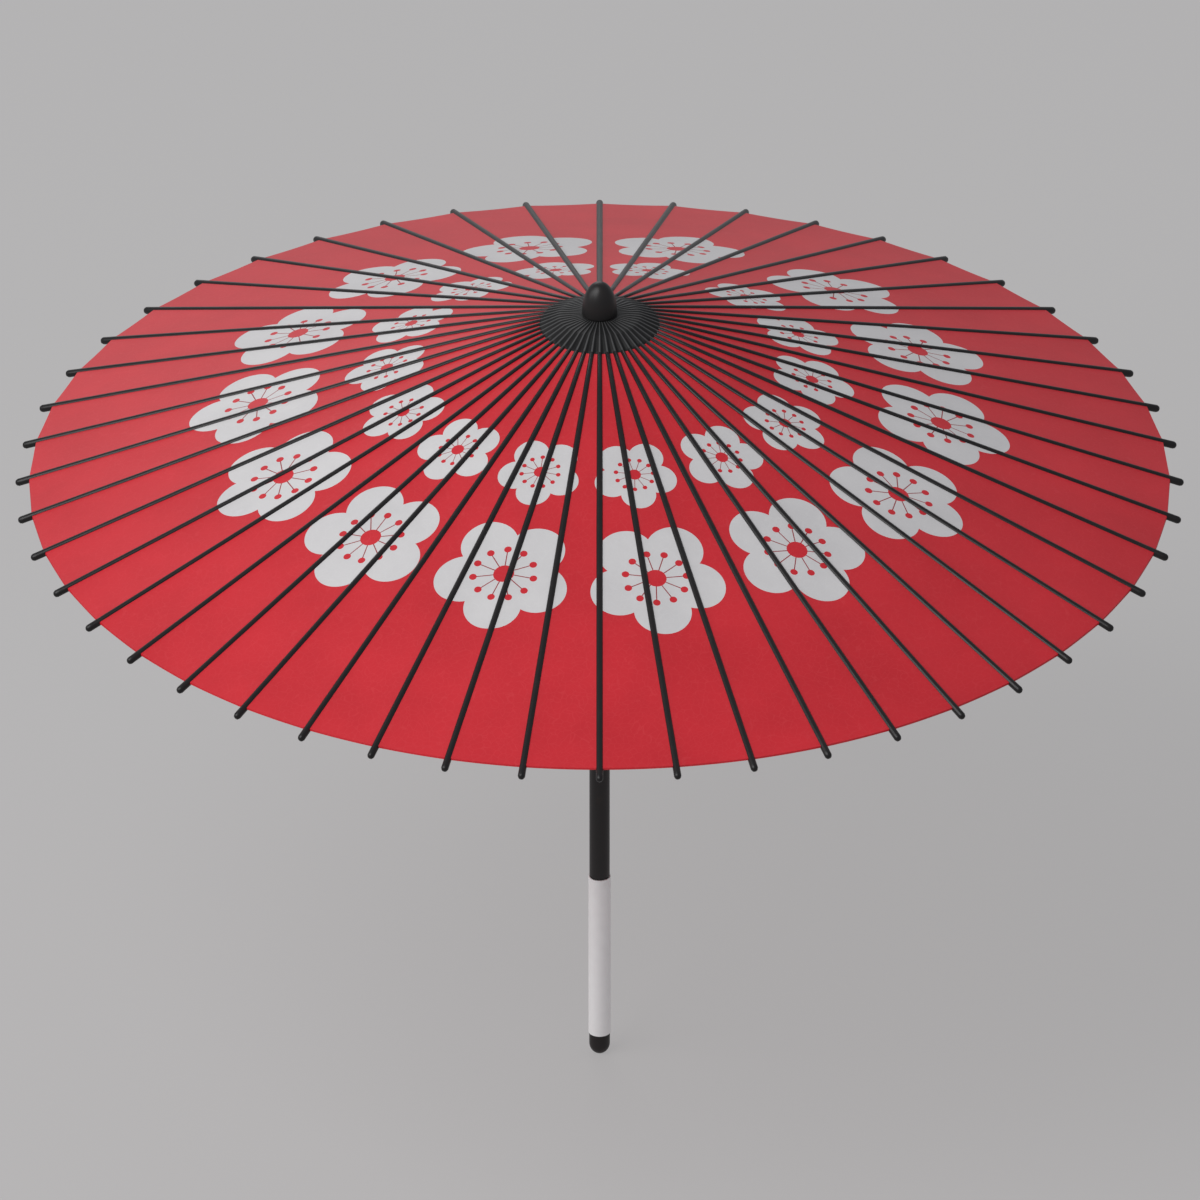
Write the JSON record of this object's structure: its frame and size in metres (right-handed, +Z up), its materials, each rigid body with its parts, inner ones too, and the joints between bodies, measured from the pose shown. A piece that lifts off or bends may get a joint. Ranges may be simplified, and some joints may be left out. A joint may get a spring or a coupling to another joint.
{
  "type": "oil paper umbrella",
  "caption": "Open folding paper umbrella: shallow cone of paper on straight bamboo ribs, notched crown and sliding runner, straight pole, wrapped grip, rounded cap.",
  "frame": {"origin": "centre of the flat foot of the end cap, on the pole's axis, where the umbrella's foot would stand", "axes": "+Z up along the pole to the finial; -Y is the side of the catch; ribs start at +X"},
  "size_m": [0.8508, 0.8508, 0.6513],
  "materials": {
    "pole": "black lacquer, satin",
    "crown": "black lacquer, satin",
    "peg": "bare bamboo",
    "thread": "twisted cotton",
    "finial": "black lacquer, satin",
    "runner": "black stain, satin",
    "short_rib": "black-stained bamboo",
    "paper": "oiled, satin, white plum blossoms",
    "catch": "bamboo, smoked",
    "catch_pin": "bare bamboo",
    "grip": "smooth close-wound wrap",
    "end_cap": "black lacquer, satin",
    "rib": "black lacquer, satin"
  },
  "bodies": {
    "umbrella": {"pole": "pole", "crown": "crown", "crown_peg": "peg", "crown_thread": "thread", "finial": "finial", "canopy": "paper", "catch_pin": "catch_pin", "grip": "grip", "end_cap": "end_cap"},
    "runner": {"runner": "runner", "short_ribs": "short_rib"},
    "catch": {"catch": "catch"},
    "rib_00": {"rib_00": "rib"},
    "rib_01": {"rib_01": "rib"},
    "rib_02": {"rib_02": "rib"},
    "rib_03": {"rib_03": "rib"},
    "rib_04": {"rib_04": "rib"},
    "rib_05": {"rib_05": "rib"},
    "rib_06": {"rib_06": "rib"},
    "rib_07": {"rib_07": "rib"},
    "rib_08": {"rib_08": "rib"},
    "rib_09": {"rib_09": "rib"},
    "rib_10": {"rib_10": "rib"},
    "rib_11": {"rib_11": "rib"},
    "rib_12": {"rib_12": "rib"},
    "rib_13": {"rib_13": "rib"},
    "rib_14": {"rib_14": "rib"},
    "rib_15": {"rib_15": "rib"},
    "rib_16": {"rib_16": "rib"},
    "rib_17": {"rib_17": "rib"},
    "rib_18": {"rib_18": "rib"},
    "rib_19": {"rib_19": "rib"},
    "rib_20": {"rib_20": "rib"},
    "rib_21": {"rib_21": "rib"},
    "rib_22": {"rib_22": "rib"},
    "rib_23": {"rib_23": "rib"},
    "rib_24": {"rib_24": "rib"},
    "rib_25": {"rib_25": "rib"},
    "rib_26": {"rib_26": "rib"},
    "rib_27": {"rib_27": "rib"},
    "rib_28": {"rib_28": "rib"},
    "rib_29": {"rib_29": "rib"},
    "rib_30": {"rib_30": "rib"},
    "rib_31": {"rib_31": "rib"},
    "rib_32": {"rib_32": "rib"},
    "rib_33": {"rib_33": "rib"},
    "rib_34": {"rib_34": "rib"},
    "rib_35": {"rib_35": "rib"},
    "rib_36": {"rib_36": "rib"},
    "rib_37": {"rib_37": "rib"},
    "rib_38": {"rib_38": "rib"},
    "rib_39": {"rib_39": "rib"},
    "rib_40": {"rib_40": "rib"},
    "rib_41": {"rib_41": "rib"},
    "rib_42": {"rib_42": "rib"},
    "rib_43": {"rib_43": "rib"},
    "rib_44": {"rib_44": "rib"},
    "rib_45": {"rib_45": "rib"},
    "rib_46": {"rib_46": "rib"},
    "rib_47": {"rib_47": "rib"}
  },
  "joints": [
    {"name": "runner_slide", "type": "slide", "parent": "umbrella", "child": "runner", "axis": [0, 0, -1], "range_m": [0, 0.2463], "deforming": ["canopy", "short_ribs"]},
    {"name": "rib_00_hinge", "type": "hinge", "parent": "umbrella", "child": "rib_00", "pos_m": [0.024, 0, 0.62204], "axis": [0, 1, 0], "range_deg": [0, 65.61]},
    {"name": "rib_01_hinge", "type": "hinge", "parent": "umbrella", "child": "rib_01", "pos_m": [0.0238, 0.00313, 0.62204], "axis": [-0.1305, 0.9914, 0], "range_deg": [0, 65.61]},
    {"name": "rib_02_hinge", "type": "hinge", "parent": "umbrella", "child": "rib_02", "pos_m": [0.02318, 0.00621, 0.62204], "axis": [-0.2588, 0.9659, 0], "range_deg": [0, 65.61]},
    {"name": "rib_03_hinge", "type": "hinge", "parent": "umbrella", "child": "rib_03", "pos_m": [0.02217, 0.00918, 0.62204], "axis": [-0.3827, 0.9239, 0], "range_deg": [0, 65.61]},
    {"name": "rib_04_hinge", "type": "hinge", "parent": "umbrella", "child": "rib_04", "pos_m": [0.02079, 0.012, 0.62204], "axis": [-0.5, 0.866, 0], "range_deg": [0, 65.61]},
    {"name": "rib_05_hinge", "type": "hinge", "parent": "umbrella", "child": "rib_05", "pos_m": [0.01904, 0.01461, 0.62204], "axis": [-0.6088, 0.7934, 0], "range_deg": [0, 65.61]},
    {"name": "rib_06_hinge", "type": "hinge", "parent": "umbrella", "child": "rib_06", "pos_m": [0.01697, 0.01697, 0.62204], "axis": [-0.7071, 0.7071, 0], "range_deg": [0, 65.61]},
    {"name": "rib_07_hinge", "type": "hinge", "parent": "umbrella", "child": "rib_07", "pos_m": [0.01461, 0.01904, 0.62204], "axis": [-0.7934, 0.6088, 0], "range_deg": [0, 65.61]},
    {"name": "rib_08_hinge", "type": "hinge", "parent": "umbrella", "child": "rib_08", "pos_m": [0.012, 0.02079, 0.62204], "axis": [-0.866, 0.5, 0], "range_deg": [0, 65.61]},
    {"name": "rib_09_hinge", "type": "hinge", "parent": "umbrella", "child": "rib_09", "pos_m": [0.00918, 0.02217, 0.62204], "axis": [-0.9239, 0.3827, 0], "range_deg": [0, 65.61]},
    {"name": "rib_10_hinge", "type": "hinge", "parent": "umbrella", "child": "rib_10", "pos_m": [0.00621, 0.02318, 0.62204], "axis": [-0.9659, 0.2588, 0], "range_deg": [0, 65.61]},
    {"name": "rib_11_hinge", "type": "hinge", "parent": "umbrella", "child": "rib_11", "pos_m": [0.00313, 0.0238, 0.62204], "axis": [-0.9914, 0.1305, 0], "range_deg": [0, 65.61]},
    {"name": "rib_12_hinge", "type": "hinge", "parent": "umbrella", "child": "rib_12", "pos_m": [0, 0.024, 0.62204], "axis": [-1, 0, 0], "range_deg": [0, 65.61]},
    {"name": "rib_13_hinge", "type": "hinge", "parent": "umbrella", "child": "rib_13", "pos_m": [-0.00313, 0.0238, 0.62204], "axis": [-0.9914, -0.1305, 0], "range_deg": [0, 65.61]},
    {"name": "rib_14_hinge", "type": "hinge", "parent": "umbrella", "child": "rib_14", "pos_m": [-0.00621, 0.02318, 0.62204], "axis": [-0.9659, -0.2588, 0], "range_deg": [0, 65.61]},
    {"name": "rib_15_hinge", "type": "hinge", "parent": "umbrella", "child": "rib_15", "pos_m": [-0.00918, 0.02217, 0.62204], "axis": [-0.9239, -0.3827, 0], "range_deg": [0, 65.61]},
    {"name": "rib_16_hinge", "type": "hinge", "parent": "umbrella", "child": "rib_16", "pos_m": [-0.012, 0.02079, 0.62204], "axis": [-0.866, -0.5, 0], "range_deg": [0, 65.61]},
    {"name": "rib_17_hinge", "type": "hinge", "parent": "umbrella", "child": "rib_17", "pos_m": [-0.01461, 0.01904, 0.62204], "axis": [-0.7934, -0.6088, 0], "range_deg": [0, 65.61]},
    {"name": "rib_18_hinge", "type": "hinge", "parent": "umbrella", "child": "rib_18", "pos_m": [-0.01697, 0.01697, 0.62204], "axis": [-0.7071, -0.7071, 0], "range_deg": [0, 65.61]},
    {"name": "rib_19_hinge", "type": "hinge", "parent": "umbrella", "child": "rib_19", "pos_m": [-0.01904, 0.01461, 0.62204], "axis": [-0.6088, -0.7934, 0], "range_deg": [0, 65.61]},
    {"name": "rib_20_hinge", "type": "hinge", "parent": "umbrella", "child": "rib_20", "pos_m": [-0.02079, 0.012, 0.62204], "axis": [-0.5, -0.866, 0], "range_deg": [0, 65.61]},
    {"name": "rib_21_hinge", "type": "hinge", "parent": "umbrella", "child": "rib_21", "pos_m": [-0.02217, 0.00918, 0.62204], "axis": [-0.3827, -0.9239, 0], "range_deg": [0, 65.61]},
    {"name": "rib_22_hinge", "type": "hinge", "parent": "umbrella", "child": "rib_22", "pos_m": [-0.02318, 0.00621, 0.62204], "axis": [-0.2588, -0.9659, 0], "range_deg": [0, 65.61]},
    {"name": "rib_23_hinge", "type": "hinge", "parent": "umbrella", "child": "rib_23", "pos_m": [-0.0238, 0.00313, 0.62204], "axis": [-0.1305, -0.9914, 0], "range_deg": [0, 65.61]},
    {"name": "rib_24_hinge", "type": "hinge", "parent": "umbrella", "child": "rib_24", "pos_m": [-0.024, 0, 0.62204], "axis": [0, -1, 0], "range_deg": [0, 65.61]},
    {"name": "rib_25_hinge", "type": "hinge", "parent": "umbrella", "child": "rib_25", "pos_m": [-0.0238, -0.00313, 0.62204], "axis": [0.1305, -0.9914, 0], "range_deg": [0, 65.61]},
    {"name": "rib_26_hinge", "type": "hinge", "parent": "umbrella", "child": "rib_26", "pos_m": [-0.02318, -0.00621, 0.62204], "axis": [0.2588, -0.9659, 0], "range_deg": [0, 65.61]},
    {"name": "rib_27_hinge", "type": "hinge", "parent": "umbrella", "child": "rib_27", "pos_m": [-0.02217, -0.00918, 0.62204], "axis": [0.3827, -0.9239, 0], "range_deg": [0, 65.61]},
    {"name": "rib_28_hinge", "type": "hinge", "parent": "umbrella", "child": "rib_28", "pos_m": [-0.02079, -0.012, 0.62204], "axis": [0.5, -0.866, 0], "range_deg": [0, 65.61]},
    {"name": "rib_29_hinge", "type": "hinge", "parent": "umbrella", "child": "rib_29", "pos_m": [-0.01904, -0.01461, 0.62204], "axis": [0.6088, -0.7934, 0], "range_deg": [0, 65.61]},
    {"name": "rib_30_hinge", "type": "hinge", "parent": "umbrella", "child": "rib_30", "pos_m": [-0.01697, -0.01697, 0.62204], "axis": [0.7071, -0.7071, 0], "range_deg": [0, 65.61]},
    {"name": "rib_31_hinge", "type": "hinge", "parent": "umbrella", "child": "rib_31", "pos_m": [-0.01461, -0.01904, 0.62204], "axis": [0.7934, -0.6088, 0], "range_deg": [0, 65.61]},
    {"name": "rib_32_hinge", "type": "hinge", "parent": "umbrella", "child": "rib_32", "pos_m": [-0.012, -0.02079, 0.62204], "axis": [0.866, -0.5, 0], "range_deg": [0, 65.61]},
    {"name": "rib_33_hinge", "type": "hinge", "parent": "umbrella", "child": "rib_33", "pos_m": [-0.00918, -0.02217, 0.62204], "axis": [0.9239, -0.3827, 0], "range_deg": [0, 65.61]},
    {"name": "rib_34_hinge", "type": "hinge", "parent": "umbrella", "child": "rib_34", "pos_m": [-0.00621, -0.02318, 0.62204], "axis": [0.9659, -0.2588, 0], "range_deg": [0, 65.61]},
    {"name": "rib_35_hinge", "type": "hinge", "parent": "umbrella", "child": "rib_35", "pos_m": [-0.00313, -0.0238, 0.62204], "axis": [0.9914, -0.1305, 0], "range_deg": [0, 65.61]},
    {"name": "rib_36_hinge", "type": "hinge", "parent": "umbrella", "child": "rib_36", "pos_m": [0, -0.024, 0.62204], "axis": [1, 0, 0], "range_deg": [0, 65.61]},
    {"name": "rib_37_hinge", "type": "hinge", "parent": "umbrella", "child": "rib_37", "pos_m": [0.00313, -0.0238, 0.62204], "axis": [0.9914, 0.1305, 0], "range_deg": [0, 65.61]},
    {"name": "rib_38_hinge", "type": "hinge", "parent": "umbrella", "child": "rib_38", "pos_m": [0.00621, -0.02318, 0.62204], "axis": [0.9659, 0.2588, 0], "range_deg": [0, 65.61]},
    {"name": "rib_39_hinge", "type": "hinge", "parent": "umbrella", "child": "rib_39", "pos_m": [0.00918, -0.02217, 0.62204], "axis": [0.9239, 0.3827, 0], "range_deg": [0, 65.61]},
    {"name": "rib_40_hinge", "type": "hinge", "parent": "umbrella", "child": "rib_40", "pos_m": [0.012, -0.02079, 0.62204], "axis": [0.866, 0.5, 0], "range_deg": [0, 65.61]},
    {"name": "rib_41_hinge", "type": "hinge", "parent": "umbrella", "child": "rib_41", "pos_m": [0.01461, -0.01904, 0.62204], "axis": [0.7934, 0.6088, 0], "range_deg": [0, 65.61]},
    {"name": "rib_42_hinge", "type": "hinge", "parent": "umbrella", "child": "rib_42", "pos_m": [0.01697, -0.01697, 0.62204], "axis": [0.7071, 0.7071, 0], "range_deg": [0, 65.61]},
    {"name": "rib_43_hinge", "type": "hinge", "parent": "umbrella", "child": "rib_43", "pos_m": [0.01904, -0.01461, 0.62204], "axis": [0.6088, 0.7934, 0], "range_deg": [0, 65.61]},
    {"name": "rib_44_hinge", "type": "hinge", "parent": "umbrella", "child": "rib_44", "pos_m": [0.02079, -0.012, 0.62204], "axis": [0.5, 0.866, 0], "range_deg": [0, 65.61]},
    {"name": "rib_45_hinge", "type": "hinge", "parent": "umbrella", "child": "rib_45", "pos_m": [0.02217, -0.00918, 0.62204], "axis": [0.3827, 0.9239, 0], "range_deg": [0, 65.61]},
    {"name": "rib_46_hinge", "type": "hinge", "parent": "umbrella", "child": "rib_46", "pos_m": [0.02318, -0.00621, 0.62204], "axis": [0.2588, 0.9659, 0], "range_deg": [0, 65.61]},
    {"name": "rib_47_hinge", "type": "hinge", "parent": "umbrella", "child": "rib_47", "pos_m": [0.0238, -0.00313, 0.62204], "axis": [0.1305, 0.9914, 0], "range_deg": [0, 65.61]},
    {"name": "catch_hinge", "type": "hinge", "parent": "umbrella", "child": "catch", "pos_m": [0, -0.0032, 0.42109], "axis": [-1, 0, 0], "range_deg": [0, 7], "stiffness_Nm_per_rad": 0.08}
  ],
  "couplings": [
    {"joint": "rib_00_hinge", "follows": "runner_slide", "rad_per_m": 4.6481},
    {"joint": "rib_01_hinge", "follows": "runner_slide", "rad_per_m": 4.6481},
    {"joint": "rib_02_hinge", "follows": "runner_slide", "rad_per_m": 4.6481},
    {"joint": "rib_03_hinge", "follows": "runner_slide", "rad_per_m": 4.6481},
    {"joint": "rib_04_hinge", "follows": "runner_slide", "rad_per_m": 4.6481},
    {"joint": "rib_05_hinge", "follows": "runner_slide", "rad_per_m": 4.6481},
    {"joint": "rib_06_hinge", "follows": "runner_slide", "rad_per_m": 4.6481},
    {"joint": "rib_07_hinge", "follows": "runner_slide", "rad_per_m": 4.6481},
    {"joint": "rib_08_hinge", "follows": "runner_slide", "rad_per_m": 4.6481},
    {"joint": "rib_09_hinge", "follows": "runner_slide", "rad_per_m": 4.6481},
    {"joint": "rib_10_hinge", "follows": "runner_slide", "rad_per_m": 4.6481},
    {"joint": "rib_11_hinge", "follows": "runner_slide", "rad_per_m": 4.6481},
    {"joint": "rib_12_hinge", "follows": "runner_slide", "rad_per_m": 4.6481},
    {"joint": "rib_13_hinge", "follows": "runner_slide", "rad_per_m": 4.6481},
    {"joint": "rib_14_hinge", "follows": "runner_slide", "rad_per_m": 4.6481},
    {"joint": "rib_15_hinge", "follows": "runner_slide", "rad_per_m": 4.6481},
    {"joint": "rib_16_hinge", "follows": "runner_slide", "rad_per_m": 4.6481},
    {"joint": "rib_17_hinge", "follows": "runner_slide", "rad_per_m": 4.6481},
    {"joint": "rib_18_hinge", "follows": "runner_slide", "rad_per_m": 4.6481},
    {"joint": "rib_19_hinge", "follows": "runner_slide", "rad_per_m": 4.6481},
    {"joint": "rib_20_hinge", "follows": "runner_slide", "rad_per_m": 4.6481},
    {"joint": "rib_21_hinge", "follows": "runner_slide", "rad_per_m": 4.6481},
    {"joint": "rib_22_hinge", "follows": "runner_slide", "rad_per_m": 4.6481},
    {"joint": "rib_23_hinge", "follows": "runner_slide", "rad_per_m": 4.6481},
    {"joint": "rib_24_hinge", "follows": "runner_slide", "rad_per_m": 4.6481},
    {"joint": "rib_25_hinge", "follows": "runner_slide", "rad_per_m": 4.6481},
    {"joint": "rib_26_hinge", "follows": "runner_slide", "rad_per_m": 4.6481},
    {"joint": "rib_27_hinge", "follows": "runner_slide", "rad_per_m": 4.6481},
    {"joint": "rib_28_hinge", "follows": "runner_slide", "rad_per_m": 4.6481},
    {"joint": "rib_29_hinge", "follows": "runner_slide", "rad_per_m": 4.6481},
    {"joint": "rib_30_hinge", "follows": "runner_slide", "rad_per_m": 4.6481},
    {"joint": "rib_31_hinge", "follows": "runner_slide", "rad_per_m": 4.6481},
    {"joint": "rib_32_hinge", "follows": "runner_slide", "rad_per_m": 4.6481},
    {"joint": "rib_33_hinge", "follows": "runner_slide", "rad_per_m": 4.6481},
    {"joint": "rib_34_hinge", "follows": "runner_slide", "rad_per_m": 4.6481},
    {"joint": "rib_35_hinge", "follows": "runner_slide", "rad_per_m": 4.6481},
    {"joint": "rib_36_hinge", "follows": "runner_slide", "rad_per_m": 4.6481},
    {"joint": "rib_37_hinge", "follows": "runner_slide", "rad_per_m": 4.6481},
    {"joint": "rib_38_hinge", "follows": "runner_slide", "rad_per_m": 4.6481},
    {"joint": "rib_39_hinge", "follows": "runner_slide", "rad_per_m": 4.6481},
    {"joint": "rib_40_hinge", "follows": "runner_slide", "rad_per_m": 4.6481},
    {"joint": "rib_41_hinge", "follows": "runner_slide", "rad_per_m": 4.6481},
    {"joint": "rib_42_hinge", "follows": "runner_slide", "rad_per_m": 4.6481},
    {"joint": "rib_43_hinge", "follows": "runner_slide", "rad_per_m": 4.6481},
    {"joint": "rib_44_hinge", "follows": "runner_slide", "rad_per_m": 4.6481},
    {"joint": "rib_45_hinge", "follows": "runner_slide", "rad_per_m": 4.6481},
    {"joint": "rib_46_hinge", "follows": "runner_slide", "rad_per_m": 4.6481},
    {"joint": "rib_47_hinge", "follows": "runner_slide", "rad_per_m": 4.6481}
  ]
}
